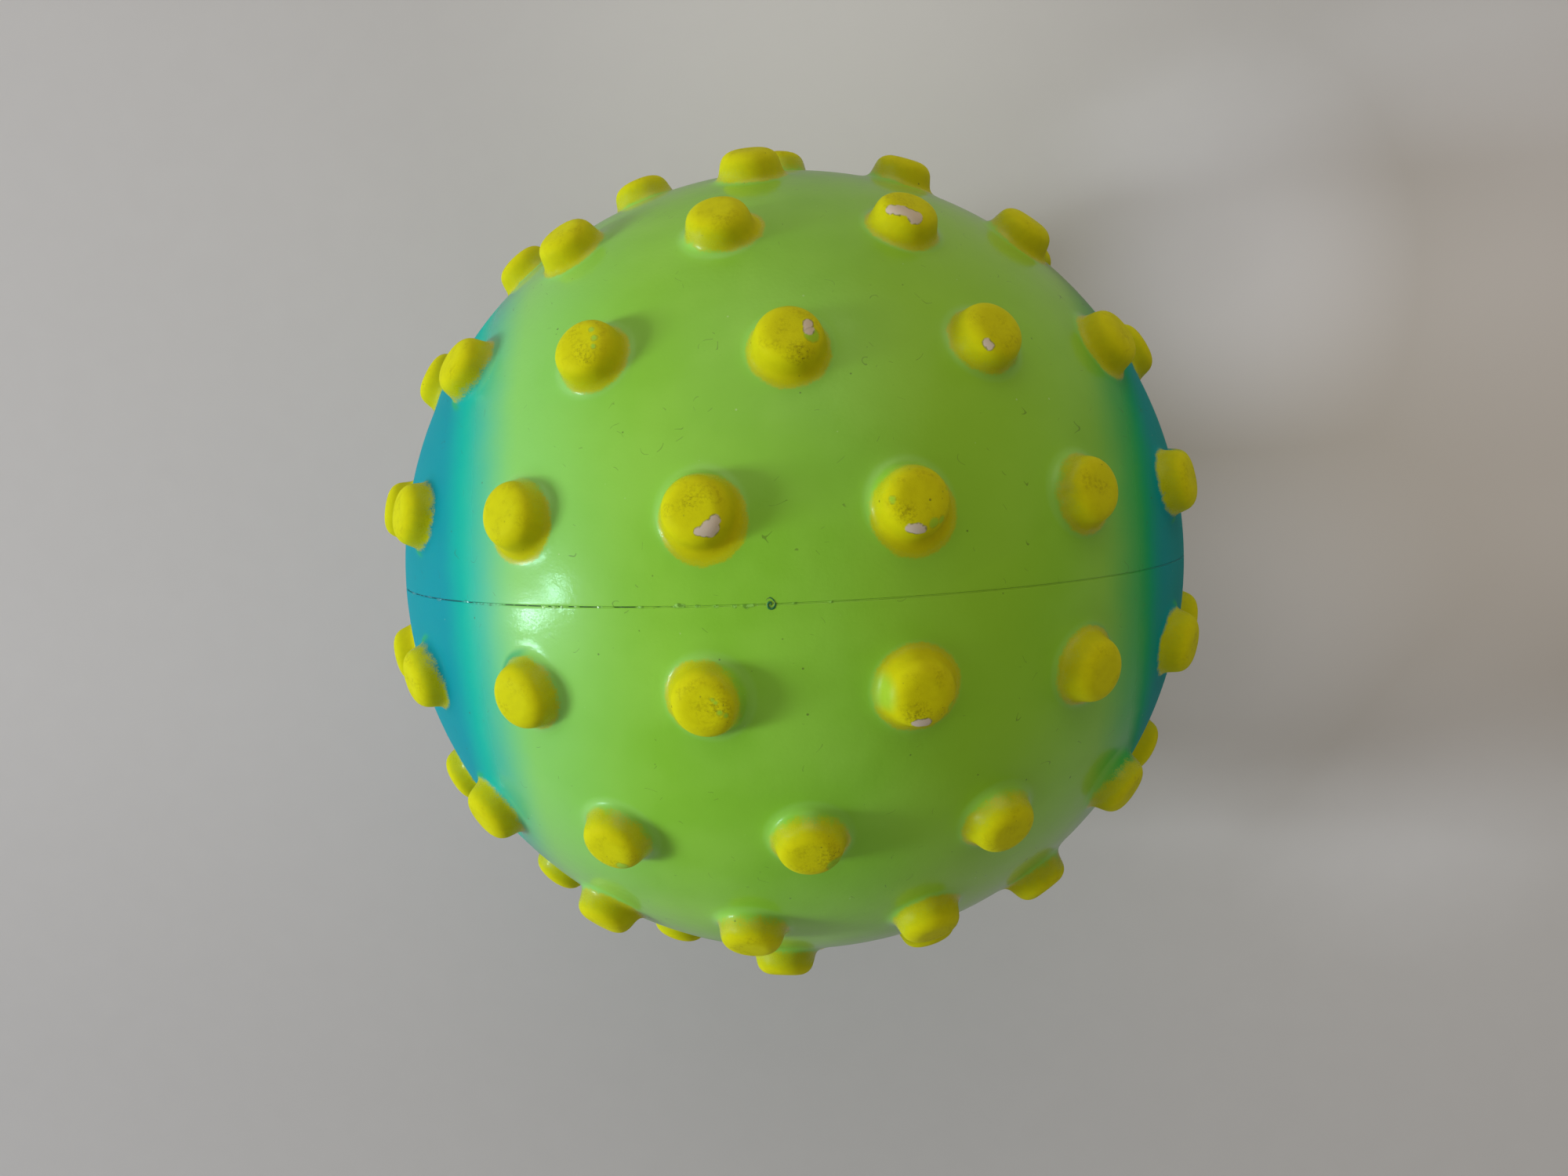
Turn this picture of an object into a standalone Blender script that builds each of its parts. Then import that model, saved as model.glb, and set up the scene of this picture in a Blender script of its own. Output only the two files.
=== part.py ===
"""Massage ball: a hollow ball of soft plastic with blunt nubs all over it.

Two moulded half shells meet at a seam, a welded band closes the seam from inside, and a
small plug seals the air hole in it. Metres, +Z up, the origin at the centre of the ball.
The seam lies in the XZ plane, and the poles of the two halves point along +Y and -Y.

Latitude is measured from the seam towards a pole. Longitude is measured about the Y axis,
from straight up (+Z) towards +X. The ball stands on the four nubs round longitude 180.
"""
from math import asin, cos, pi, radians, sin, sqrt

import bmesh
import bpy
from mathutils import Matrix, Vector

# Body
BODY_RADIUS = 0.0500
WALL = 0.0025
CLEARANCE = 0.0003          # between pieces that touch on the real ball

# Nubs: blunt cones with a flare at the skin, a rounded edge and a small flat top
NUB_HEIGHT = 0.0032
NUB_BASE_RADIUS = 0.0041    # of its side, at the top of the flare
NUB_SHOULDER_RADIUS = 0.0036
NUB_FLAT_RADIUS = 0.0021
NUB_EDGE_ROUND = 0.0011     # height of the rounded edge
NUB_FLARE = 0.0007          # height and width of the flare
# One row a line: latitude, number of nubs, longitude of the first one, in degrees.
NUB_ROWS = (
    (10.5, 15, 0.0),
    (30.0, 13, 11.0),
    (50.0, 10, -1.0),
    (70.0, 5, 0.0),
    (90.0, 1, 0.0),
)

# Weld band: a ring inside the seam that laps both halves
BAND_WIDTH = 0.0060
BAND_THICKNESS = 0.0012

# Plug of the air hole, in the seam
PLUG_LONGITUDE = radians(7.9)
PLUG_RADIUS = 0.0008
PLUG_STANDS_PROUD = 0.0002
PLUG_FLANGE_RADIUS = 0.0022
PLUG_FLANGE_THICKNESS = 0.0008

# Sprayed colours: green skin, blue ends and yellow nubs
BLUE_AXIS_LONGITUDE = radians(100.7)
BLUE_END_RADII = (0.0329, 0.0362)   # of the circles that bound the +X and the -X end
GREEN = (0.24, 0.52, 0.07)
BLUE = (0.0, 0.31, 0.42)
YELLOW = (0.64, 0.55, 0.01)
BARE_PLASTIC = (0.62, 0.57, 0.56)
DARK_GREEN = (0.07, 0.22, 0.03)
GLOSSY = 0.25
MATT = 0.6

# Mesh fineness
BALL_SEGMENTS = 48
OUTER_RINGS = 12
INNER_RINGS = 7
NUB_SIDES = 12
PLUG_SIDES = 16

SEAM_HALF_GAP = CLEARANCE / 2
INNER_RADIUS = BODY_RADIUS - WALL
REBATE_RADIUS = BODY_RADIUS - WALL / 2
REBATE_HALF_WIDTH = BAND_WIDTH / 2 + CLEARANCE
BAND_RADIUS = REBATE_RADIUS - CLEARANCE
BAND_INNER_RADIUS = BAND_RADIUS - BAND_THICKNESS
NUB_ROOT_DEPTH = WALL / 2   # how far a nub reaches into the wall


def clear_scene():
    for thing in list(bpy.data.objects):
        bpy.data.objects.remove(thing, do_unlink=True)


def make_material(name, colour, roughness):
    material = bpy.data.materials.new(name)
    material.use_nodes = True
    shader = material.node_tree.nodes["Principled BSDF"]
    shader.inputs["Base Color"].default_value = (*colour, 1.0)
    shader.inputs["Roughness"].default_value = roughness
    shader.inputs["Metallic"].default_value = 0.0
    material.diffuse_color = (*colour, 1.0)
    return material


def shade(mesh):
    mesh.shade_smooth()
    mesh.set_sharp_from_angle(angle=radians(35))


def make_object(name, bm, materials):
    """Turn a bmesh into an object whose faces all point outwards."""
    bmesh.ops.recalc_face_normals(bm, faces=bm.faces)
    mesh = bpy.data.meshes.new(name)
    bm.to_mesh(mesh)
    bm.free()
    for material in materials:
        mesh.materials.append(material)
    shade(mesh)
    thing = bpy.data.objects.new(name, mesh)
    bpy.context.collection.objects.link(thing)
    return thing


def make_guide(name, bm, materials=()):
    """An object that only shapes others, so it neither renders nor counts as a part."""
    guide = make_object(name, bm, materials)
    guide.hide_render = True
    guide.display_type = "WIRE"
    return guide


def combine(target, guide, operation):
    boolean = target.modifiers.new(operation.lower() + "_" + guide.name, "BOOLEAN")
    boolean.operation = operation
    boolean.object = guide
    boolean.solver = "EXACT"
    boolean.material_mode = "TRANSFER"


def settle(thing):
    """Put the result of the Booleans in the mesh, so that the edges they make are sharp too."""
    evaluated = thing.evaluated_get(bpy.context.evaluated_depsgraph_get())
    mesh = bpy.data.meshes.new_from_object(evaluated)
    mesh.name = thing.name
    thing.modifiers.clear()
    thing.data = mesh
    shade(mesh)


def direction(latitude, longitude):
    """The outward unit vector at a latitude and longitude, in radians."""
    ring = cos(latitude)
    return Vector((ring * sin(longitude), sin(latitude), ring * cos(longitude)))


def standing_frame(outward):
    """A frame at the centre of the ball whose local Z axis points outwards."""
    return outward.to_track_quat("Z", "Y").to_matrix().to_4x4()


def add_stack(bm, frame, rings, sides):
    """A closed turned body: (radius, height) rings joined from the lowest to the highest."""
    loops = []
    for radius, height in rings:
        loop = []
        for step in range(sides):
            turn = 2 * pi * step / sides
            point = Vector((radius * cos(turn), radius * sin(turn), height))
            loop.append(bm.verts.new(frame @ point))
        loops.append(loop)
    for lower, upper in zip(loops, loops[1:]):
        for step in range(sides):
            after = (step + 1) % sides
            bm.faces.new((lower[step], lower[after], upper[after], upper[step]))
    bm.faces.new(reversed(loops[0]))
    bm.faces.new(loops[-1])


def turn_about_poles(profile, closed):
    """Spin a profile of (distance from the pole axis, place along Y) points round Y."""
    bm = bmesh.new()
    points = [bm.verts.new((0.0, along, away)) for away, along in profile]
    pairs = list(zip(points, points[1:]))
    if closed:
        pairs.append((points[-1], points[0]))
    edges = [bm.edges.new(pair) for pair in pairs]
    bmesh.ops.spin(
        bm,
        geom=points + edges,
        cent=(0.0, 0.0, 0.0),
        axis=(0.0, 1.0, 0.0),
        angle=2 * pi,
        steps=BALL_SEGMENTS,
        use_merge=True,
    )
    bmesh.ops.remove_doubles(bm, verts=bm.verts, dist=CLEARANCE / 100)
    return bm


def arc(radius, start, end, steps):
    """Points of an arc about the centre, from one latitude to another."""
    points = []
    for step in range(steps + 1):
        latitude = start + (end - start) * step / steps
        points.append((radius * cos(latitude), radius * sin(latitude)))
    return points


def shell_profile(side):
    """Outer skin from pole to seam, the rebate for the weld band, and the inner skin."""
    outer = arc(BODY_RADIUS, pi / 2, asin(SEAM_HALF_GAP / BODY_RADIUS), OUTER_RINGS)
    rebate = [(REBATE_RADIUS, SEAM_HALF_GAP), (REBATE_RADIUS, REBATE_HALF_WIDTH)]
    inner = arc(INNER_RADIUS, asin(REBATE_HALF_WIDTH / INNER_RADIUS), pi / 2, INNER_RINGS)
    return [(away, side * along) for away, along in outer + rebate + inner]


def outer_faces(bm):
    """The faces of a half shell's outer skin."""
    limit = BODY_RADIUS - WALL / 4
    return [face for face in bm.faces if face.calc_center_median().length > limit]


def paint_blue_ends(bm):
    """Split the outer skin along the edge of each blue end, and colour what is beyond."""
    axis = direction(0.0, BLUE_AXIS_LONGITUDE)
    for way, radius in zip((axis, -axis), BLUE_END_RADII):
        plane_distance = sqrt(BODY_RADIUS ** 2 - radius ** 2)
        skin = outer_faces(bm)
        edges = {edge for face in skin for edge in face.edges}
        corners = {corner for face in skin for corner in face.verts}
        bmesh.ops.bisect_plane(
            bm,
            geom=skin + list(edges) + list(corners),
            dist=CLEARANCE / 100,
            plane_co=way * plane_distance,
            plane_no=way,
        )
        for face in outer_faces(bm):
            if face.calc_center_median().dot(way) > plane_distance:
                face.material_index = 1


def nub_rings():
    """The turned profile of one nub, from its root in the wall to its flat top."""
    shoulder = NUB_HEIGHT - NUB_EDGE_ROUND
    rounded = NUB_SHOULDER_RADIUS - NUB_FLAT_RADIUS
    halfway = pi / 4
    profile = (
        (NUB_BASE_RADIUS + NUB_FLARE + NUB_ROOT_DEPTH, -NUB_ROOT_DEPTH),
        (NUB_BASE_RADIUS, NUB_FLARE),
        (NUB_SHOULDER_RADIUS, shoulder),
        (NUB_FLAT_RADIUS + rounded * cos(halfway), shoulder + NUB_EDGE_ROUND * sin(halfway)),
        (NUB_FLAT_RADIUS, NUB_HEIGHT),
    )
    return [(radius, BODY_RADIUS + height) for radius, height in profile]


def nub_directions(side):
    for latitude, count, first in NUB_ROWS:
        for number in range(count):
            longitude = radians(first) + 2 * pi * number / count
            yield direction(side * radians(latitude), longitude)


def make_half_shell(name, side, materials, plug_hole):
    """One half of the ball, side +1 towards +Y or -1 towards -Y, with its nubs."""
    skin_materials, nub_material = materials[:2], materials[2]
    bm = turn_about_poles(shell_profile(side), closed=False)
    paint_blue_ends(bm)
    shell = make_object(name, bm, skin_materials)

    bm = bmesh.new()
    for outward in nub_directions(side):
        add_stack(bm, standing_frame(outward), nub_rings(), NUB_SIDES)
    nubs = make_guide(name + "_nubs", bm, (nub_material,))

    combine(shell, nubs, "UNION")
    combine(shell, plug_hole, "DIFFERENCE")
    settle(shell)
    return shell


def make_weld_band(material, plug_hole):
    half = BAND_WIDTH / 2
    section = [
        (BAND_INNER_RADIUS, -half),
        (BAND_RADIUS, -half),
        (BAND_RADIUS, half),
        (BAND_INNER_RADIUS, half),
    ]
    band = make_object("weld_band", turn_about_poles(section, closed=True), (material,))
    combine(band, plug_hole, "DIFFERENCE")
    settle(band)
    return band


def make_plug_hole():
    """The cutter for the hole that the plug passes through."""
    bm = bmesh.new()
    rings = (
        (PLUG_RADIUS + CLEARANCE, BAND_INNER_RADIUS - WALL),
        (PLUG_RADIUS + CLEARANCE, BODY_RADIUS + WALL),
    )
    add_stack(bm, standing_frame(direction(0.0, PLUG_LONGITUDE)), rings, PLUG_SIDES)
    return make_guide("plug_hole", bm)


def make_vent_plug(material):
    """A flange inside the band and a stem through it that ends just proud of the skin."""
    flange_top = BAND_INNER_RADIUS * cos(pi / BALL_SEGMENTS) - CLEARANCE
    tip = BODY_RADIUS + PLUG_STANDS_PROUD
    rings = (
        (PLUG_FLANGE_RADIUS, flange_top - PLUG_FLANGE_THICKNESS),
        (PLUG_FLANGE_RADIUS, flange_top),
        (PLUG_RADIUS, flange_top),
        (PLUG_RADIUS, tip - PLUG_RADIUS / 4),
        (PLUG_RADIUS / 2, tip),
    )
    bm = bmesh.new()
    add_stack(bm, standing_frame(direction(0.0, PLUG_LONGITUDE)), rings, PLUG_SIDES)
    return make_object("vent_plug", bm, (material,))


def build():
    clear_scene()
    skin = (
        make_material("green_skin", GREEN, GLOSSY),
        make_material("blue_end", BLUE, GLOSSY),
        make_material("yellow_nub", YELLOW, MATT),
    )
    bare = make_material("bare_plastic", BARE_PLASTIC, MATT)
    dark = make_material("seam_green", DARK_GREEN, MATT)

    plug_hole = make_plug_hole()
    make_half_shell("rear_half_shell", 1, skin, plug_hole)
    make_half_shell("front_half_shell", -1, skin, plug_hole)
    make_weld_band(bare, plug_hole)
    make_vent_plug(dark)


build()
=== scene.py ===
"""A massage ball of soft vinyl: two half shells with moulded nubs, welded at a seam.

The skin is sprayed glossy green with a blue end on either side, the nubs are sprayed matt yellow.
Lengths are in metres unless a comment says millimetres. The seam lies in the plane y = 0.
"""
import math
import random

import bmesh
import bpy
from mathutils import Matrix, Vector, noise


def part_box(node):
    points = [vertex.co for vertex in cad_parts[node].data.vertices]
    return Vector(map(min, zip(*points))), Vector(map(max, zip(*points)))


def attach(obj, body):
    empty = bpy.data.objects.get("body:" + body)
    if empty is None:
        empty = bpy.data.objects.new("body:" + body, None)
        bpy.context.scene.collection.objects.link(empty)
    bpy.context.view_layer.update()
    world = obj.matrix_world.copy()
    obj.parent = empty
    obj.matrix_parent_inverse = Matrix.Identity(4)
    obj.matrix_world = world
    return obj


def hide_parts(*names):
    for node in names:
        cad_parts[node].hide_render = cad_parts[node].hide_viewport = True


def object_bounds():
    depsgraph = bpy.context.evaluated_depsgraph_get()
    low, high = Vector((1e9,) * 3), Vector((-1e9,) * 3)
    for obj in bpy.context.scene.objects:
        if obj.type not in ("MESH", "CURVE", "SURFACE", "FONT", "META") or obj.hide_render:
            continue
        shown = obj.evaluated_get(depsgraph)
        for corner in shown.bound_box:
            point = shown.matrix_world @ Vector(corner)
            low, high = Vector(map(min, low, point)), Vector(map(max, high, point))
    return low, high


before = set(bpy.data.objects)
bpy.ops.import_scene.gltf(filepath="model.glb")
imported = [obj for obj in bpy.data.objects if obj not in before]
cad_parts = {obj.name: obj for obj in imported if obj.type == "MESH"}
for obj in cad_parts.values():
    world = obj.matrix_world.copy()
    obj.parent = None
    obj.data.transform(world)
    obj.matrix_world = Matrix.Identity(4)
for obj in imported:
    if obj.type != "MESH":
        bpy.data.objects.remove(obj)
frame_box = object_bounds()

MM = 0.001
REAR_SHELL, FRONT_SHELL, WELD, PLUG = "rear_half_shell", "front_half_shell", "weld_band", "vent_plug"

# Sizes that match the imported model's.
NUB_HEIGHT = 3.2 * MM
BALL_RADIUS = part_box(REAR_SHELL)[1].y - NUB_HEIGHT
FLOOR_LEVEL = frame_box[0].z
WALL = 2.5 * MM

# One nub: distance from its axis and height over the skin, in millimetres, from its top outwards.
NUB_PROFILE = (
    (0.9, 3.17), (1.6, 3.16), (1.95, 3.14), (2.2, 3.09), (2.5, 2.99), (2.8, 2.84), (3.07, 2.62), (3.28, 2.36),
    (3.43, 2.05), (3.54, 1.7), (3.64, 1.3), (3.74, 0.92), (3.87, 0.6), (4.06, 0.35), (4.33, 0.175),
    (4.68, 0.075), (5.1, 0.025), (5.6, 0.0),
)
NUB_SIDES = 64
SKIRT_STEPS = 6    # rings of skin round a nub
# Rows from the seam to the pole: latitude, number of nubs, longitude of the first, in degrees.
NUB_ROWS = ((10.5, 15, 0.0), (30.0, 13, 11.0), (50.0, 10, -1.0), (70.0, 5, 0.0), (90.0, 1, 0.0))
# Latitudes at which one row's skin meets the next one's, and half the strip that bridges them.
ROW_EDGES = (0.4, 20.25, 40.0, 60.1, 79.9)
ROW_GAP = 0.6

# The seam: half its gap, the rounding of its lips, and the rebate for the weld band.
SEAM_HALF_GAP = 0.05 * MM
LIP_ROUND = 0.09 * MM
REBATE_DEPTH = 1.3 * MM
REBATE_HALF_WIDTH = 3.1 * MM
WELD_STEPS = 1440

# The plug: sides and rings of its curl, the radius of the innermost ring, how far the rings spread from it,
# the radius at which the curl fades out, and the plug's length.
PLUG_SIDES, PLUG_RINGS = 40, 14
CURL_CORE, CURL_SPREAD, CURL_RADIUS = 0.02 * MM, 0.74 * MM, 0.76 * MM
PLUG_LENGTH = 1.6 * MM

# The blue ends: the direction of their axis, and how far from the middle each begins, in millimetres.
BLUE_AXIS_LONGITUDE = math.radians(100.7)
BLUE_START_PLUS, BLUE_START_MINUS = 37.6, 34.5

# Where the yellow lies on a nub, by the nub's row and number, in millimetres: how far east and towards -Y
# of its axis, and its radius.
REAR_SPRAY = {
    (0, 0): (0.3, 0.8, 4.4), (0, 1): (0.3, 0.95, 4.4), (0, 2): (0.45, 0.25, 4.2),
    (0, 12): (0.1, 0.35, 5.1), (0, 13): (0.0, 0.05, 3.85), (0, 14): (-0.25, 0.55, 4.35),
    (1, 0): (-0.05, 0.55, 4.2), (1, 1): (-0.2, 0.05, 3.95), (1, 11): (-0.1, -0.2, 3.95),
    (1, 12): (0.3, 0.15, 3.95), (2, 0): (0.4, -0.35, 4.3), (2, 1): (-0.15, 0.2, 4.15),
}
FRONT_SPRAY = {
    (0, 0): (-0.5, 0.05, 3.95), (0, 1): (0.1, 0.0, 4.55), (0, 2): (0.25, 0.05, 4.3),
    (0, 12): (0.1, -0.35, 5.1), (0, 14): (-0.15, 0.1, 3.95), (1, 0): (0.05, 0.55, 4.1),
    (1, 1): (0.05, 0.45, 4.1), (1, 12): (-0.15, 0.15, 3.9), (2, 0): (0.05, 0.3, 3.95),
}

# Spots where the yellow is thin, rubbed off or soiled, in millimetres: place, radius.
SPRAYED_THIN = (((15.9, -9.3, 48.0), 2.4),)
RUBBED_TO_PLASTIC = (
    ((1.8, 7.6, 52.5), 0.95), ((0.6, 7.4, 52.6), 0.45), ((1.2, 7.4, 52.6), 0.65),
    ((2.2, 8.4, 52.4), 0.6), ((20.5, 6.5, 48.4), 0.75), ((21.0, 6.5, 48.2), 0.8),
    ((21.5, 6.4, 48.0), 0.65), ((20.4, -12.4, 47.2), 0.7), ((21.0, -12.4, 47.0), 0.7),
    ((17.7, 39.9, 30.0), 0.65), ((18.4, 39.7, 29.9), 0.7), ((19.0, 39.6, 29.7), 0.7),
    ((19.7, 39.3, 29.7), 0.65), ((20.2, 38.9, 29.8), 0.85), ((10.6, 26.9, 44.4), 0.55),
    ((10.7, 26.3, 44.8), 0.55), ((27.7, 24.6, 37.9), 0.55), ((28.0, 24.3, 37.9), 0.6),
)
RUBBED_TO_GREEN = (
    ((18.7, 9.7, 48.6), 0.35), ((18.7, 9.4, 48.7), 0.25), ((18.2, 10.6, 48.6), 0.2),
    ((22.5, 7.2, 47.2), 0.55), ((23.3, 7.4, 46.7), 0.45), ((23.7, 10.4, 45.8), 0.15),
    ((23.4, -10.8, 45.6), 0.65), ((22.9, -11.8, 45.6), 0.4), ((1.1, -8.8, 52.4), 0.2),
    ((1.4, -9.1, 52.3), 0.2), ((1.7, -10.1, 52.0), 0.35), ((2.3, -10.4, 51.9), 0.25),
    ((11.0, 25.8, 44.9), 0.8), ((11.0, -27.5, 43.5), 1.05), ((-11.9, -28.0, 42.9), 0.8),
    ((-11.8, 27.7, 43.6), 0.35), ((-11.3, 26.8, 44.3), 0.4), ((-11.3, 25.9, 44.8), 0.3),
)
SOILED = (
    ((9.8, 24.1, 46.1), 1.4), ((10.9, 23.9, 45.7), 0.85), ((19.9, 8.3, 48.4), 1.2),
    ((1.7, -9.6, 52.1), 1.3), ((20.3, -11.3, 47.6), 1.5), ((-0.2, 10.3, 52.1), 1.05),
    ((-12.8, 25.8, 44.6), 1.15), ((10.7, -26.8, 44.5), 1.65),
    ((-12.0, 24.9, 45.1), 1.05),
)


def select_only(*pieces):
    bpy.ops.object.select_all(action="DESELECT")
    for piece in pieces:
        piece.select_set(True)
    bpy.context.view_layer.objects.active = pieces[0]


def edit(piece):
    select_only(piece)
    bpy.ops.object.mode_set(mode="EDIT")


def done_editing():
    bpy.ops.object.mode_set(mode="OBJECT")


def pick_rim(test=lambda place: True):
    """Selects the open edges whose middle passes the test."""
    bpy.ops.mesh.select_mode(type="EDGE")
    bpy.ops.mesh.select_all(action="DESELECT")
    mesh = bpy.context.object.data
    shape = bmesh.from_edit_mesh(mesh)
    for edge in shape.edges:
        if edge.is_boundary and test((edge.verts[0].co + edge.verts[1].co) / 2):
            edge.select_set(True)
    bmesh.update_edit_mesh(mesh)


def note_turns(turn_of):
    """Notes on every picked point its angle round the nub; extruded points keep the note."""
    mesh = bpy.context.object.data
    shape = bmesh.from_edit_mesh(mesh)
    turns = shape.verts.layers.float.new("turn")
    for corner in shape.verts:
        if corner.select:
            corner[turns] = turn_of(corner.co)
    bmesh.update_edit_mesh(mesh)


def move_picked(new_place):
    """Moves every picked point to the place for its noted angle."""
    mesh = bpy.context.object.data
    shape = bmesh.from_edit_mesh(mesh)
    turns = shape.verts.layers.float["turn"]
    for corner in shape.verts:
        if corner.select:
            corner.co = new_place(corner[turns])
    bmesh.update_edit_mesh(mesh)


def latitude(place):
    """A point's angle from the seam towards the rear pole, in degrees."""
    return math.degrees(math.asin(max(-1.0, min(1.0, place.y / place.length))))


def on_ball(north, east):
    """The point of the ball's surface at a latitude and a longitude in degrees."""
    north, east = math.radians(north), math.radians(east)
    across = math.cos(north)
    return BALL_RADIUS * Vector((across * math.sin(east), math.sin(north), across * math.cos(east)))


def duplicate(piece, name):
    select_only(piece)
    bpy.ops.object.duplicate()
    copy = bpy.context.object
    copy.name = copy.data.name = name
    return copy


def apply_place(piece):
    select_only(piece)
    bpy.ops.object.transform_apply(location=True, rotation=True, scale=True)


def model_nub():
    """One nub at the top of the ball, its axis along +Z, from its flat top down to its fillet."""
    def level(radius, height):
        return height * MM + math.sqrt(BALL_RADIUS ** 2 - (radius * MM) ** 2)

    radius, height = NUB_PROFILE[0]
    bpy.ops.object.select_all(action="DESELECT")
    bpy.ops.mesh.primitive_circle_add(
        vertices=NUB_SIDES, radius=radius * MM, fill_type="TRIFAN", location=(0, 0, level(radius, height))
    )
    nub = bpy.context.object
    apply_place(nub)
    edit(nub)
    pick_rim()
    for next_radius, next_height in NUB_PROFILE[1:]:
        drop = level(next_radius, next_height) - level(radius, height)
        bpy.ops.mesh.extrude_region_move(TRANSFORM_OT_translate={"value": (0, 0, drop)})
        widen = next_radius / radius
        bpy.ops.transform.resize(value=(widen, widen, 1), center_override=(0, 0, 0))
        radius, height = next_radius, next_height
    done_editing()
    return nub


def cell_edge(angle, south, north, half_width):
    """The point of a cell's four-sided edge that the nub's rim reaches at an angle round its axis."""
    side = math.degrees(angle) % 360
    middle, half_height = (north + south) / 2, (north - south) / 2
    if side < 45 or side >= 315:
        share = ((side + 180) % 360 - 180) / 45
        return on_ball(middle + share * half_height, half_width)
    if side < 135:
        return on_ball(north, -half_width * (side - 90) / 45)
    if side < 225:
        return on_ball(middle - (side - 180) / 45 * half_height, -half_width)
    return on_ball(south, half_width * (side - 270) / 45)


def model_cell(nub, row):
    """A nub of one row with the skin round it, as far as its neighbours' skin."""
    north, count, _ = NUB_ROWS[row]
    cell = duplicate(nub, "cell")
    tilt = Matrix.Rotation(-math.radians(north), 4, "X")
    cell.matrix_world = tilt
    apply_place(cell)
    upright = tilt.inverted()
    low = ROW_EDGES[row] + (ROW_GAP if row else 0)
    high = ROW_EDGES[row + 1] - ROW_GAP if row + 1 < len(ROW_EDGES) else None
    rim_radius = NUB_PROFILE[-1][0] * MM
    edit(cell)
    pick_rim()
    note_turns(lambda place: math.atan2((upright @ place).y, (upright @ place).x))
    for step in range(1, SKIRT_STEPS + 1):
        share = step / SKIRT_STEPS

        def skin_place(angle):
            spoke = Vector((math.cos(angle), math.sin(angle), 0))
            start = spoke * rim_radius
            start.z = math.sqrt(BALL_RADIUS ** 2 - rim_radius ** 2)
            start = tilt @ start
            if high is None:
                end = spoke * BALL_RADIUS * math.cos(math.radians(low))
                end.z = BALL_RADIUS * math.sin(math.radians(low))
                end = tilt @ end
            else:
                end = cell_edge(angle, low, high, 180 / count)
            return start.lerp(end, share).normalized() * BALL_RADIUS

        bpy.ops.mesh.extrude_region_move(TRANSFORM_OT_translate={"value": (0, 0, 0)})
        move_picked(skin_place)
    done_editing()
    note_nub_places(cell, upright)
    return cell


def note_nub_places(cell, upright):
    """Keeps each point's place from its nub's axis in millimetres: east, towards -Y, and straight across.

    The other two notes are filled in later: which nub a point is on, and where that nub's yellow lies.
    """
    cell.data.attributes.new("nub_place", "FLOAT_VECTOR", "POINT")
    cell.data.attributes.new("nub_spray", "FLOAT_VECTOR", "POINT")
    cell.data.attributes.new("nub_key", "INT", "POINT")
    for corner, mark in zip(cell.data.vertices, cell.data.attributes["nub_place"].data):
        local = upright @ corner.co
        mark.vector = (local.x / MM, -local.y / MM, math.hypot(local.x, local.y) / MM)


def name_nub(cell, row, index):
    """Keeps a nub's row and number on each of its points."""
    for mark in cell.data.attributes["nub_key"].data:
        mark.value = row * 100 + index


def spray_nubs(skin, known, seed):
    """Notes where the yellow lies on each nub; a nub that isn't known gets a place of its own by chance."""
    draw = random.Random(seed)
    holes = {}
    for row, (_, count, _) in enumerate(NUB_ROWS):
        for index in range(count):
            chance = (draw.uniform(-0.25, 0.3), draw.uniform(-0.1, 0.5), draw.uniform(3.9, 4.25))
            holes[row * 100 + index] = known.get((row, index), chance)
    for key, mark in zip(skin.data.attributes["nub_key"].data, skin.data.attributes["nub_spray"].data):
        mark.vector = holes[key.value]


def model_rear_skin():
    """The rear half: cells copied round the pole, rows bridged, then the lip, rebate and inner wall."""
    nub = model_nub()
    cells = []
    for row, (_, count, first) in enumerate(NUB_ROWS):
        cell = model_cell(nub, row)
        for index in range(count):
            copy = duplicate(cell, f"nub_{row}_{index}")
            copy.matrix_world = Matrix.Rotation(math.radians(first + 360 * index / count), 4, "Y")
            apply_place(copy)
            name_nub(copy, row, index)
            cells.append(copy)
        bpy.data.objects.remove(cell)
    bpy.data.objects.remove(nub)
    select_only(*cells)
    bpy.ops.object.join()
    skin = bpy.context.object
    skin.name = skin.data.name = "rear_skin"
    edit(skin)
    bpy.ops.mesh.select_all(action="SELECT")
    bpy.ops.mesh.remove_doubles(threshold=0.02 * MM)
    for row_edge in ROW_EDGES[1:]:
        pick_rim(lambda place: abs(latitude(place) - row_edge) < 2 * ROW_GAP)
        bpy.ops.mesh.bridge_edge_loops()
    pick_rim(lambda place: latitude(place) < 1)
    lip_edge = math.radians(ROW_EDGES[0])
    radius, level = BALL_RADIUS * math.cos(lip_edge), BALL_RADIUS * math.sin(lip_edge)
    for next_radius, next_level in lip_and_wall():
        bpy.ops.mesh.extrude_region_move(TRANSFORM_OT_translate={"value": (0, next_level - level, 0)})
        narrow = next_radius / radius
        bpy.ops.transform.resize(value=(narrow, 1, narrow), center_override=(0, 0, 0))
        radius, level = next_radius, next_level
    bpy.ops.mesh.merge(type="CENTER")
    bpy.ops.mesh.select_all(action="SELECT")
    bpy.ops.mesh.normals_make_consistent(inside=False)
    done_editing()
    spray_nubs(skin, REAR_SPRAY, 7)
    return skin


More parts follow.
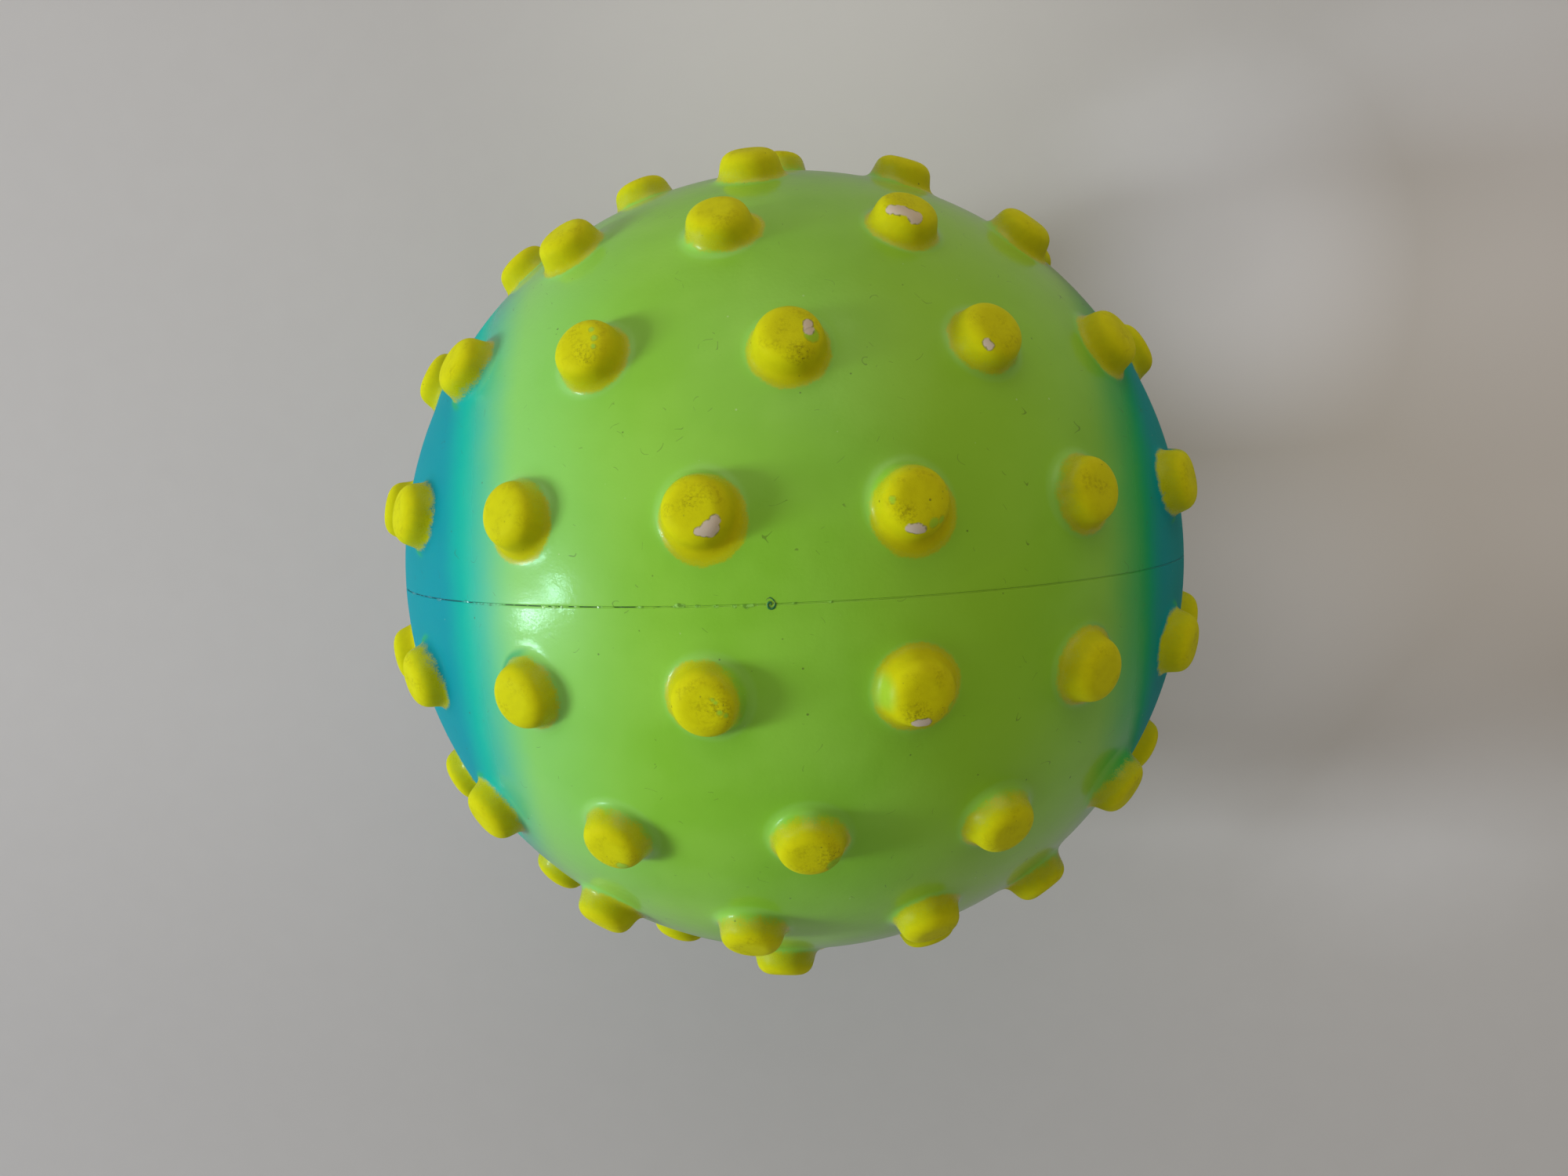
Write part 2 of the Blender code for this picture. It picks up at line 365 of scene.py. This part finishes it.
def lip_and_wall():
    """Radius and height over the seam plane of the rings from the lip, over the rebate, up the inner wall."""
    rings = []
    top = SEAM_HALF_GAP + LIP_ROUND
    rings.append((BALL_RADIUS, top))
    for turn in (25, 50, 70, 90):
        angle = math.radians(turn)
        rings.append((BALL_RADIUS - LIP_ROUND * (1 - math.cos(angle)), top - LIP_ROUND * math.sin(angle)))
    rings.append((BALL_RADIUS - REBATE_DEPTH, SEAM_HALF_GAP))
    rings.append((BALL_RADIUS - REBATE_DEPTH, REBATE_HALF_WIDTH))
    inner = BALL_RADIUS - WALL
    start = math.asin(REBATE_HALF_WIDTH / inner)
    for step in range(10):
        angle = start + (math.radians(88) - start) * step / 9
        rings.append((inner * math.cos(angle), inner * math.sin(angle)))
    return rings


def model_front_skin(rear):
    """The front half is the rear one mirrored in the seam plane."""
    front = duplicate(rear, "front_skin")
    front.scale = (1, -1, 1)
    apply_place(front)
    edit(front)
    bpy.ops.mesh.select_all(action="SELECT")
    bpy.ops.mesh.normals_make_consistent(inside=False)
    done_editing()
    for place in front.data.attributes["nub_place"].data:
        place.vector = (place.vector[0], -place.vector[1], place.vector[2])
    spray_nubs(front, FRONT_SPRAY, 19)
    return front


def smooth(piece, angle=40):
    select_only(piece)
    bpy.ops.object.shade_smooth_by_angle(angle=math.radians(angle))


class Signal:
    """A socket of a finish's nodes that counts like a number: each sum adds its Math node."""

    def __init__(self, finish, socket):
        self.finish, self.socket = finish, socket

    def math(self, operation, *terms, clamp=False):
        return self.finish.node("Math", {"operation": operation, "use_clamp": clamp}, dict(enumerate(terms)))

    def __add__(self, other):
        return self.math("ADD", self, other)

    def __sub__(self, other):
        return self.math("SUBTRACT", self, other)

    def __rsub__(self, other):
        return self.math("SUBTRACT", other, self)

    def __mul__(self, other):
        return self.math("MULTIPLY", self, other)

    def __truediv__(self, other):
        return self.math("DIVIDE", self, other)

    def __neg__(self):
        return self * -1

    __radd__ = __add__
    __rmul__ = __mul__

    def power(self, exponent):
        return self.math("POWER", self, exponent)

    def root(self):
        return self.math("SQRT", self)

    def size(self):
        return self.math("ABSOLUTE", self)

    def least(self, other):
        return self.math("MINIMUM", self, other)

    def most(self, other):
        return self.math("MAXIMUM", self, other)

    def rise(self, start, end):
        """0 below start, 1 above end, soft between; the other way round where end is below start."""
        return self.finish.node(
            "MapRange", {"interpolation_type": "SMOOTHSTEP"},
            {"Value": self, "From Min": start, "From Max": end, "To Min": 0.0, "To Max": 1.0},
        )


class Finish:
    """A material in the making, with one Principled shader."""

    def __init__(self, name):
        self.material = bpy.data.materials.new(name)
        self.material.use_nodes = True
        self.tree = self.material.node_tree
        self.shader = self.tree.nodes["Principled BSDF"]

    def node(self, kind, settings=None, sockets=None, out=0):
        node = self.tree.nodes.new("ShaderNode" + kind)
        for name, value in (settings or {}).items():
            setattr(node, name, value)
        for name, value in (sockets or {}).items():
            self.feed(node.inputs[name], value)
        return Signal(self, node.outputs[out])

    def feed(self, socket, value):
        if isinstance(value, Signal):
            self.tree.links.new(value.socket, socket)
        elif isinstance(value, tuple) and len(value) == 3 and socket.type == "RGBA":
            socket.default_value = value + (1.0,)
        else:
            socket.default_value = value

    def place(self):
        return self.node("TexCoord", out=3)

    def parts(self, vector):
        split = self.node("SeparateXYZ", sockets={"Vector": vector}).socket.node
        return [Signal(self, socket) for socket in split.outputs]

    def noise(self, place, size, detail=2.0, roughness=0.5):
        """Cloudy noise with patches about size millimetres across, about 0.5 on average."""
        return self.node(
            "TexNoise",
            sockets={"Vector": place, "Scale": 1 / (size * MM), "Detail": detail, "Roughness": roughness},
        )

    def mix(self, share, low, high):
        """A colour between two: low where share is 0, high where it is 1."""
        return self.node("Mix", {"data_type": "RGBA"}, {0: share, 6: low, 7: high}, out=2)

    def specks(self, place, spacing, largest, share):
        """Round specks, in millimetres: at most one in each patch of spacing, in a share of the patches."""
        cells = self.node("TexVoronoi", sockets={"Vector": place, "Scale": 1 / (spacing * MM)})
        chance, size, _ = self.parts(Signal(self, cells.socket.node.outputs["Color"]))
        radius = size * (largest / spacing)
        return (cells - radius).rise(0.02, -0.02) * chance.rise(1 - share, 1.01 - share)

    def hairs(self, place, size, width):
        """Short curly lines: bits of the line along which a cloudy noise crosses its middle."""
        line = (self.noise(place, size, 0.0) - 0.5).size().rise(width, width * 0.4)
        return line * self.noise(place, size * 0.8, 1.0).rise(0.655, 0.67)

    def distance(self, place, point):
        """Distance from a point given in millimetres, in millimetres."""
        metres = tuple(number * MM for number in point)
        away = self.node("VectorMath", {"operation": "DISTANCE"}, {0: place, 1: metres}, out=1)
        return away / MM

    def along(self, place, direction):
        """How far a place lies along a direction, in millimetres."""
        sockets = {0: place, 1: tuple(direction)}
        return self.node("VectorMath", {"operation": "DOT_PRODUCT"}, sockets, out=1) / MM

    def bump(self, height, depth, below=None):
        """Relief of depth metres where height goes from 0 to 1."""
        sockets = {"Height": height, "Distance": depth}
        if below:
            sockets["Normal"] = below
        return self.node("Bump", sockets=sockets)

    def set(self, **sockets):
        """Fills the shader's sockets; an underscore in a name stands for a space."""
        for name, value in sockets.items():
            self.feed(self.shader.inputs[name.replace("_", " ")], value)


# The green coat and the blue ends; the mint green is painted sheen on the window side, the pale green is
# painted sheen in the nubs' feet and the colour of pale flash.
GREEN_DEEP = (0.235, 0.535, 0.030)
GREEN_LIGHT = (0.270, 0.58, 0.048)
GREEN_OLIVE = (0.30, 0.565, 0.022)
GREEN_MINT_SHEEN = (0.245, 0.61, 0.125)
GREEN_PALE = (0.32, 0.64, 0.16)
GREEN_TEAL = (0.02, 0.36, 0.13)
TEAL = (0.0, 0.44, 0.31)
TEAL_DARK = (0.0, 0.40, 0.07)
BLUE = (0.0, 0.265, 0.315)

# The nubs, what wears off them and what sticks to the skin; the deeper yellow is painted shade on the nubs'
# flanks.
YELLOW = (0.60, 0.575, 0.0)
YELLOW_FLANK_SHADE = (0.55, 0.51, 0.0)
YELLOW_THIN = (0.36, 0.50, 0.01)
YELLOW_SOILED = (0.24, 0.20, 0.0)
BARE_VINYL = (0.60, 0.49, 0.40)
LINT = (0.60, 0.72, 0.40)
DIRT = (0.06, 0.07, 0.015)

# The seam and the vent.
SEAM_DIRT = (0.012, 0.07, 0.008)
SEAM_DIRT_BLUE = (0.0, 0.06, 0.09)
CURL_LOW = (0.25, 0.34, 0.05)
CURL_CREST = (0.02, 0.17, 0.05)

# The table, its patches of painted light, and the patches of painted glow that fill the ball's shadow on it:
# middle, edge and core in millimetres, and strength.
BLACK = (0.0, 0.0, 0.0)
TABLE_DULL = (0.480, 0.447, 0.447)
TABLE_PLAIN = (0.498, 0.465, 0.465)
TABLE_PAINTED_LIGHT_RIGHT = (0.82, 0.775, 0.81)
TABLE_PAINTED_LIGHT_REAR = (0.78, 0.73, 0.725)
TABLE_MIRRORED = (0.30, 0.29, 0.28)
PAINTED_SHADOW_GLOW = (0.155, 0.162, 0.18)
PAINTED_SHADOW_FILLS = (((60, -18, 0), 45, 10, 0.47), ((98, 48, 0), 45, 8, 0.22), ((88, -42, 0), 38, 5, 0.28))


def sprayed_coat(finish, place):
    """The uneven green coat with the blue ends sprayed over it and a painted mint sheen on the window side,
    and how deep in an end a place lies.
    """
    cloud = finish.noise(place, 9.0, 2.0)
    green = finish.mix(cloud.rise(0.3, 0.7), GREEN_DEEP, GREEN_LIGHT)
    x = finish.parts(place)[0]
    # The green turns olive in a soft band round x = 25 mm.
    olive_band = (x / MM - 25 + (finish.noise(place, 25.0, 1.0) - 0.5) * 10).size().rise(13, 1)
    green = finish.mix(olive_band * 0.6, green, GREEN_OLIVE)
    axis = Vector((math.sin(BLUE_AXIS_LONGITUDE), 0, math.cos(BLUE_AXIS_LONGITUDE)))
    across = finish.along(place, axis) + (finish.noise(place, 4.0, 3.0) - 0.5) * 0.8
    end_depth = (across - BLUE_START_PLUS).most(-across - BLUE_START_MINUS)
    plus_end = across.rise(-1, 1)
    # Painted sheen: the green turns mint towards the minus end, on the window side.
    green = finish.mix(across.rise(-13, -31) * 0.9, green, GREEN_MINT_SHEEN)
    teal = finish.mix(plus_end, TEAL, TEAL_DARK)
    blue_share = (end_depth + plus_end * 0.6).rise(0.2, 5.0)
    return finish.mix(end_depth.rise(-6.2, 0.9), green, finish.mix(blue_share, teal, BLUE)), end_depth


def gap_to(finish, place, spots):
    """How far a place is outside the nearest of a few round spots, in millimetres; below 0 inside."""
    gap = None
    for point, radius in spots:
        away = finish.distance(place, point) - radius
        gap = away if gap is None else gap.least(away)
    return gap


def ball_finish():
    """Green coat with blue ends, yellow nubs, rubbed spots, dirt and lint, painted sheen in the nubs' feet
    and painted shade on their flanks, and the skin's orange peel.
    """
    ball = Finish("painted_vinyl")
    place = ball.place()
    x, y, _ = ball.parts(place)
    east, south, reach = ball.parts(ball.node("Attribute", {"attribute_name": "nub_place"}, out=1))
    sprayed = ball.node("Attribute", {"attribute_name": "nub_spray"}, out=1)
    spray_east, spray_south, spray_radius = ball.parts(sprayed)
    on_nub = reach.rise(6.6, 6.2)
    coat, end_depth = sprayed_coat(ball, place)

    # Painted sheen: each nub's hollow foot is painted paler outside the blue ends; near the ends the foot's
    # far side also caught blue.
    foot = reach.rise(3.7, 4.2) * reach.rise(5.1, 4.5)
    coat = ball.mix(foot * end_depth.rise(1.0, -2.0) * 0.22, coat, GREEN_PALE)
    end_side = east * x.math("SIGN", x) + south * y.math("SIGN", y)
    far_side = end_side.rise(3.2, 5.2) * reach.rise(3.5, 3.9) * reach.rise(5.0, 4.3)
    coat = ball.mix(far_side * end_depth.rise(-9.0, -3.0) * 0.85, coat, GREEN_TEAL)

    # Yellow is sprayed through a round hole over every nub; its edge is grainy, and too thin to be matt.
    grain = ball.noise(place, 0.16, 1.0) - 0.5
    wander = (ball.noise(place, 1.4, 2.0) - 0.5) * 0.5
    past = ((east - spray_east).power(2.0) + (south - spray_south).power(2.0)).root() - spray_radius + wander
    yellow_share = (past + grain * 0.5).rise(0.28, -0.10) * on_nub
    thin = gap_to(ball, place, SPRAYED_THIN).rise(0.8, -0.8)
    matt = (past + grain * 0.6).rise(-0.05, -0.55) * on_nub * (1 - thin * 0.7)
    # Painted shade: the yellow is deeper and darker all down each nub's flank.
    yellow = ball.mix(reach.rise(3.1, 3.8), YELLOW, YELLOW_FLANK_SHADE)
    yellow = ball.mix((past + grain).rise(-1.1, 0.2) * 0.45, yellow, YELLOW_THIN)

    # The tops are soiled in clouds of fine grains, most of all round the rubbed spots.
    near_top = reach.rise(3.6, 2.6)
    yellow = ball.mix(ball.noise(place, 0.9, 3.0).rise(0.38, 0.7) * 0.08, yellow, YELLOW_SOILED)
    cloud = ball.noise(place, 2.2, 2.0).rise(0.46, 0.66) * near_top
    soiled = gap_to(ball, place, SOILED).rise(0.5, -0.9)
    fine = ball.noise(place, 0.34, 3.0, 0.65).rise(0.40, 0.68)
    yellow = ball.mix(fine * (cloud * 0.6).most(soiled) * 0.62, yellow, YELLOW_SOILED)
    yellow = ball.mix(ball.noise(place, 0.17, 1.0).rise(0.66, 0.74) * soiled * 0.5, yellow, DIRT)

    # Spots rubbed down to the green and to the bare vinyl, with a dark rim.
    ragged = (ball.noise(place, 0.5, 3.0) - 0.5) * 0.4
    green_gap = gap_to(ball, place, RUBBED_TO_GREEN) + ragged
    vinyl_gap = gap_to(ball, place, RUBBED_TO_PLASTIC) + ragged
    left_over = yellow_share * (1 - thin * 0.65) * (1 - green_gap.rise(0.12, -0.18) * 0.7)
    paint = ball.mix(left_over, coat, yellow)
    vinyl_rim = vinyl_gap.rise(0.14, 0.04) * vinyl_gap.rise(-0.1, 0.0)
    green_rim = green_gap.rise(0.12, 0.04) * green_gap.rise(-0.1, 0.0) * 0.4
    rim = vinyl_rim + green_rim
    paint = ball.mix(vinyl_gap.rise(0.10, -0.08), paint, BARE_VINYL)
    paint = ball.mix(rim * on_nub * ball.noise(place, 0.5, 1.0).rise(0.35, 0.6) * 0.5, paint, DIRT)

    # Dirt: specks all over, and short curled hairs on the skin; a few grains are pale.
    top_dirt = ball.specks(place, 0.6, 0.12, 0.4) * near_top * ball.noise(place, 3.0, 2.0).rise(0.5, 0.62)
    skin_dirt = ball.specks(place, 1.6, 0.14, 0.25)
    hairs = ball.hairs(place, 2.3, 0.008) * (1 - on_nub)
    colour = ball.mix((top_dirt.most(skin_dirt) * 0.6).most(hairs * 0.45), paint, DIRT)
    colour = ball.mix(ball.specks(place, 1.9, 0.11, 0.3) * (1 - yellow_share) * 0.4, colour, LINT)

    # Relief, and a gloss that is matt on the yellow and duller on the blue.
    ripple = ball.noise(place, 2.2, 1.0)
    peel = ball.noise(place, 0.5, 3.0, 0.6)
    paint_skin = ball.noise(place, 0.38, 2.0, 0.6) * 0.7 + ball.noise(place, 0.14, 1.0) * 0.6
    normal = ball.bump(ripple, 0.028 * MM)
    normal = ball.bump(peel * (1 - yellow_share) * 1.15 + paint_skin * yellow_share, 0.015 * MM, normal)
    blue = end_depth.rise(-1.0, 2.0)
    ball.set(
        Base_Color=colour, Normal=normal,
        Roughness=matt * 0.70 + blue * (1 - yellow_share) * 0.55 + 0.15,
        Specular_IOR_Level=0.24, Specular_Tint=(0.55, 0.95, 0.85),
        Coat_Weight=(1 - matt * 0.93) * (1 - blue * 0.93), Coat_Roughness=0.42, Coat_IOR=1.35,
        Subsurface_Weight=0.1, Subsurface_Radius=(0.7, 1.0, 0.3), Subsurface_Scale=1.2 * MM,
    )
    return ball.material


def seam_finish():
    """The coat on the weld's web: dark with dirt where the web is sunk, dull on the bits of flash."""
    seam = Finish("weld_flash")
    place = seam.place()
    coat, end_depth = sprayed_coat(seam, place)
    sunk = seam.distance(place, (0, 0, 0)).rise(BALL_RADIUS / MM - 0.02, BALL_RADIUS / MM - 0.12)
    grime = (sunk + seam.noise(place, 0.8, 2.0) * 0.5).rise(0.3, 0.9)
    dark = seam.mix(end_depth.rise(-1.0, 1.0), SEAM_DIRT, SEAM_DIRT_BLUE)
    colour = seam.mix(grime, coat, dark)
    flash = seam.node("Attribute", {"attribute_name": "pale"}, out=2)
    melt = seam.noise(place, 0.35, 2.0).rise(0.42, 0.58)
    paler = (seam.parts(place)[0] / MM).rise(-22, -12) * 0.4
    folded = seam.mix(melt, seam.mix(0.5, coat, dark), seam.mix(paler, coat, GREEN_PALE))
    colour = seam.mix(flash.rise(0.15, 0.4), colour, folded)
    seam.set(
        Base_Color=colour, Roughness=0.45, Specular_IOR_Level=0.35, Coat_Weight=flash.rise(0.1, 0.4) * 0.5,
        Normal=seam.bump(seam.noise(place, 0.2), 0.02 * MM),
    )
    return seam.material


def plug_finish():
    """Melted vinyl, light in the curl's hollows and dark green on its crest."""
    plug = Finish("vent_plug_vinyl")
    place = plug.place()
    melt = plug.noise(place, 0.3, 3.0)
    ridge = plug.node("Attribute", {"attribute_name": "ridge"}, out=2)
    colour = plug.mix((ridge + (melt - 0.5) * 0.9).rise(0.35, 0.75), CURL_LOW, CURL_CREST)
    plug.set(
        Base_Color=colour, Roughness=0.4, Coat_Weight=0.6, Coat_IOR=1.38, Specular_IOR_Level=0.2,
        Normal=plug.bump(melt, 0.03 * MM),
    )
    return plug.material


def weld_section():
    """The weld band's outline with the web that fills the seam: radius and height over the seam plane."""
    outer, inner = BALL_RADIUS - REBATE_DEPTH - 0.05 * MM, BALL_RADIUS - WALL
    half, web = 2.95 * MM, SEAM_HALF_GAP * 0.9
    crest = BALL_RADIUS - 0.12 * MM
    return (
        (inner, -half), (outer, -half), (outer, -web), (crest - 0.1 * MM, -web), (crest, -web), (crest, web),
        (crest - 0.1 * MM, web), (outer, web), (outer, half), (inner, half),
    )


def model_weld():
    """The weld band: its outline spun round the pole, its web raised and folded over in places as flash."""
    section = weld_section()
    bpy.ops.object.select_all(action="DESELECT")
    bpy.ops.mesh.primitive_circle_add(vertices=len(section), radius=BALL_RADIUS)
    weld = bpy.context.object
    weld.name = weld.data.name = "weld_and_flash"
    for corner, (radius, level) in zip(weld.data.vertices, section):
        corner.co = (radius, level, 0)
    edit(weld)
    bpy.ops.mesh.select_all(action="SELECT")
    bpy.ops.mesh.spin(
        steps=WELD_STEPS, angle=2 * math.pi, center=(0, 0, 0), axis=(0, 1, 0), use_auto_merge=True
    )
    bpy.ops.mesh.select_all(action="SELECT")
    bpy.ops.mesh.remove_doubles(threshold=0.01 * MM)
    bpy.ops.mesh.normals_make_consistent(inside=False)
    done_editing()
    shape_web(weld)
    return weld


# Bits of flash along the seam: longitude and length in degrees, then in millimetres the height over the
# skin and the spread to either side.
FLASH = (
    (-53.0, 2.4, 0.03, 0.10, -0.12), (-45.3, 1.2, 0.05, 0.16, 0.0), (-42.1, 1.5, 0.06, 0.02, -0.26),
    (-34.9, 1.0, 0.05, 0.14, -0.03), (-32.0, 2.6, 0.04, 0.0, -0.24), (-29.1, 2.9, 0.03, 0.04, -0.22),
    (-20.4, 0.9, 0.06, 0.04, -0.24), (-18.9, 0.9, 0.06, 0.02, -0.30), (-17.8, 0.8, 0.06, 0.03, -0.22),
    (-15.8, 0.6, 0.05, 0.12, -0.06), (-12.5, 0.7, 0.04, 0.08, -0.05), (-7.3, 0.9, 0.04, 0.06, -0.10),
    (-2.6, 1.6, 0.07, 0.30, -0.04), (-0.6, 0.8, 0.06, 0.22, -0.10), (1.6, 0.8, 0.05, 0.06, -0.16),
    (3.6, 0.7, 0.06, 0.02, -0.30), (4.9, 0.9, 0.06, 0.04, -0.34), (5.7, 0.6, 0.05, 0.08, -0.22),
    (10.3, 0.6, 0.04, 0.06, -0.04), (14.4, 0.5, 0.05, 0.05, -0.10),
)


def shape_web(weld):
    """Sinks the web left of the vent, lifts it flush with the skin on the right, folds bits of flash over."""
    crest = BALL_RADIUS - 0.2 * MM
    pale = weld.data.attributes.new("pale", "FLOAT", "POINT").data
    for corner, mark in zip(weld.data.vertices, pale):
        radius = math.hypot(corner.co.x, corner.co.z)
        if radius < crest or abs(corner.co.y) > 2 * SEAM_HALF_GAP:
            continue
        spread = Vector((corner.co.x, 0, corner.co.z)).normalized()
        east = math.degrees(math.atan2(spread.x, spread.z))
        flush = max(0.0, min(1.0, (east + 14) / 12)) * max(0.0, min(1.0, (110 - east) / 20))
        wander = noise.noise(spread * 60)
        rise = (0.02 + 0.07 * flush) * MM + 0.05 * MM * max(-1.0, min(1.0, 2.2 * wander)) * (1.3 - flush)
        top = radius > BALL_RADIUS - 0.15 * MM
        for middle, length, height, up, down in FLASH:
            share = 1 - (2 * (east - middle) / length) ** 2
            if share <= 0:
                continue
            ragged = 0.7 + 0.6 * noise.noise(spread * 400)
            swell = math.sqrt(share) * ragged
            if top:
                rise = max(rise, 0.12 * MM + height * MM * swell)
                corner.co.y += (up if corner.co.y > 0 else down) * MM * swell
            mark.value = swell
        corner.co.x += spread.x * rise
        corner.co.z += spread.z * rise


def model_plug():
    """The vent plug: a stem through the seam and a curl of melted vinyl on top."""
    low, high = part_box(PLUG)
    middle = (low + high) / 2
    outward = Vector((middle.x, 0, middle.z)).normalized()
    turn = outward.to_track_quat("Z", "Y").to_matrix().to_4x4()
    bpy.ops.object.select_all(action="DESELECT")
    bpy.ops.mesh.primitive_circle_add(vertices=PLUG_SIDES, radius=CURL_CORE, fill_type="TRIFAN")
    plug = bpy.context.object
    plug.name = plug.data.name = "vent_curl"
    edit(plug)
    pick_rim()
    radius = CURL_CORE
    for step in range(1, PLUG_RINGS + 1):
        wider = CURL_CORE + CURL_SPREAD * step / PLUG_RINGS
        bpy.ops.mesh.extrude_region_move(TRANSFORM_OT_translate={"value": (0, 0, 0)})
        bpy.ops.transform.resize(value=(wider / radius, wider / radius, 1), center_override=(0, 0, 0))
        radius = wider
    bpy.ops.mesh.extrude_region_move(TRANSFORM_OT_translate={"value": (0, 0, -PLUG_LENGTH)})
    bpy.ops.mesh.edge_face_add()
    done_editing()
    ridge = plug.data.attributes.new("ridge", "FLOAT", "POINT").data
    for corner, mark in zip(plug.data.vertices, ridge):
        away = math.hypot(corner.co.x, corner.co.y) / CURL_RADIUS
        if corner.co.z > -0.5 * MM:
            angle = math.atan2(corner.co.y, corner.co.x)
            swell = math.sin(math.pi * min(1, away)) ** 0.6 if away > 0 else 0
            curl = math.cos(angle - 8.5 * away + 2.2) * swell
            corner.co.z = MM * (0.05 * (1 - away ** 2) + 0.09 * curl - 0.01)
            ragged = 1 + 0.16 * noise.noise(Vector((math.cos(angle), math.sin(angle), 3.1)) * 1.7) * away
            corner.co.x *= 0.92 * ragged
            corner.co.y *= 0.74 * ragged
            mark.value = 0.5 + 0.5 * curl
    edit(plug)
    bpy.ops.mesh.select_all(action="SELECT")
    bpy.ops.mesh.normals_make_consistent(inside=False)
    done_editing()
    plug.matrix_world = Matrix.Translation(outward * BALL_RADIUS) @ turn
    apply_place(plug)
    return plug


def set_floor():
    """A plain table with painted light in two pale patches and painted shade towards the front."""
    bpy.ops.object.select_all(action="DESELECT")
    bpy.ops.mesh.primitive_plane_add(size=4, location=(0, 0, FLOOR_LEVEL))
    floor = bpy.context.object
    floor.name = "floor"
    table = Finish("plain_table")
    place = table.place()
    top = table.mix(table.noise(place, 6.0, 3.0), TABLE_DULL, TABLE_PLAIN)
    # Painted shade: the table darkens towards the front.
    top = table.mix((table.parts(place)[1] / MM).rise(-10, -110) * 0.12, top, BLACK)
    # Painted light: a pale patch in the ball's shadow on the right, and one just beyond the ball at +Y, where
    # the ball shades the table.
    top = table.mix(table.distance(place, (108, 18, 0)).rise(70, 15) * 0.82, top, TABLE_PAINTED_LIGHT_RIGHT)
    top = table.mix(table.distance(place, (0, 95, 0)).rise(80, 0) * 0.42, top, TABLE_PAINTED_LIGHT_REAR)
    # Painted light: a glow that only the camera sees fills the ball's shadow on the right a little.
    seen, mirrored = table.node("LightPath", out=0), table.node("LightPath", out=3)
    fill = table.distance(place, (62, 42, 0)).rise(40, 6)
    for middle, edge, core, strength in PAINTED_SHADOW_FILLS:
        fill = fill.most(table.distance(place, middle).rise(edge, core) * strength)
    table.set(
        Base_Color=table.mix(mirrored, top, TABLE_MIRRORED), Roughness=0.8,
        Emission_Color=table.mix(fill * seen, BLACK, PAINTED_SHADOW_GLOW), Emission_Strength=1.0,
    )
    floor.data.materials.append(table.material)


def set_lamp(name, place, width, height, watts, colour, mirrored=True):
    """A flat lamp that faces the ball's centre; one that isn't mirrored leaves no gloss of its own."""
    lamp = bpy.data.lights.new(name, "AREA")
    lamp.shape, lamp.size, lamp.size_y, lamp.energy, lamp.color = "RECTANGLE", width, height, watts, colour
    holder = bpy.data.objects.new(name, lamp)
    bpy.context.collection.objects.link(holder)
    holder.location = place
    holder.rotation_euler = Vector(place).to_track_quat("Z", "Y").to_euler()
    holder.visible_glossy = mirrored


def set_lights():
    """The window on the left with its two panes, the walls round the table, and a dim room."""
    daylight = (0.88, 1.0, 1.06)
    set_lamp("window_upper_pane", (-1.202, -0.068, 0.789), 0.136, 0.137, 2.2, daylight)
    set_lamp("window_lower_pane", (-1.297, -0.191, 0.585), 0.094, 0.212, 2.4, daylight)
    set_lamp("window_curtain", (-1.25, -0.156, 0.767), 0.30, 0.40, 11.2, daylight, mirrored=False)
    for name, size, watts in (("near", 1.1, 2.4), ("middle", 1.8, 3.3), ("wide", 2.6, 4.3)):
        set_lamp("left_wall_" + name, (-1.47, 0.0, 0.62), size, size, watts, (0.92, 1.0, 1.12))
    for name, size, watts in (("near", 1.1, 4.1), ("middle", 1.8, 5.5), ("wide", 2.6, 6.9)):
        set_lamp("upper_wall_" + name, (0.0, 1.37, 0.82), size, size, watts, (1.05, 0.94, 0.76))
    set_lamp("lower_wall", (0.0, -1.37, 0.82), 1.6, 1.6, 4.4, (1.0, 1.0, 0.92), mirrored=False)
    set_lamp("right_wall", (1.25, 0.6, 0.85), 1.6, 1.6, 4.0, (1.0, 0.88, 0.42), mirrored=False)
    world = bpy.data.worlds.new("room")
    bpy.context.scene.world = world
    world.use_nodes = True
    tree = world.node_tree
    room = tree.nodes["Background"]
    room.inputs["Color"].default_value = (1.0, 0.96, 0.92, 1.0)
    # The room is dimmer where it is mirrored.
    ray = tree.nodes.new("ShaderNodeLightPath")
    strength = tree.nodes.new("ShaderNodeMapRange")
    strength.inputs["To Min"].default_value, strength.inputs["To Max"].default_value = 0.13, 0.05
    tree.links.new(ray.outputs["Is Glossy Ray"], strength.inputs["Value"])
    tree.links.new(strength.outputs[0], room.inputs["Strength"])


def set_camera():
    """The camera of the reference view, fitted to the ball's outline and its nubs."""
    camera = bpy.data.cameras.new("camera")
    camera.lens, camera.sensor_width = 30.744, 36.0
    camera.clip_start = 0.01
    holder = bpy.data.objects.new("camera", camera)
    bpy.context.collection.objects.link(holder)
    holder.location = (0.032354, 0.014417, 0.175634)
    holder.rotation_euler = (math.radians(-6.1959), math.radians(10.6499), math.radians(-2.5234))
    bpy.context.scene.camera = holder


def assemble():
    """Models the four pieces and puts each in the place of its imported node."""
    vinyl = ball_finish()
    rear = model_rear_skin()
    front = model_front_skin(rear)
    for skin, node in ((rear, REAR_SHELL), (front, FRONT_SHELL)):
        smooth(skin)
        skin.data.materials.append(vinyl)
        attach(skin, "root")
        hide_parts(node)
    weld = model_weld()
    smooth(weld, 60)
    weld.data.materials.append(seam_finish())
    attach(weld, "root")
    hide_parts(WELD)
    plug = model_plug()
    smooth(plug, 60)
    plug.data.materials.append(plug_finish())
    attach(plug, "root")
    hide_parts(PLUG)


assemble()
set_floor()
set_lights()
set_camera()
bpy.context.scene.view_settings.view_transform = "Standard"
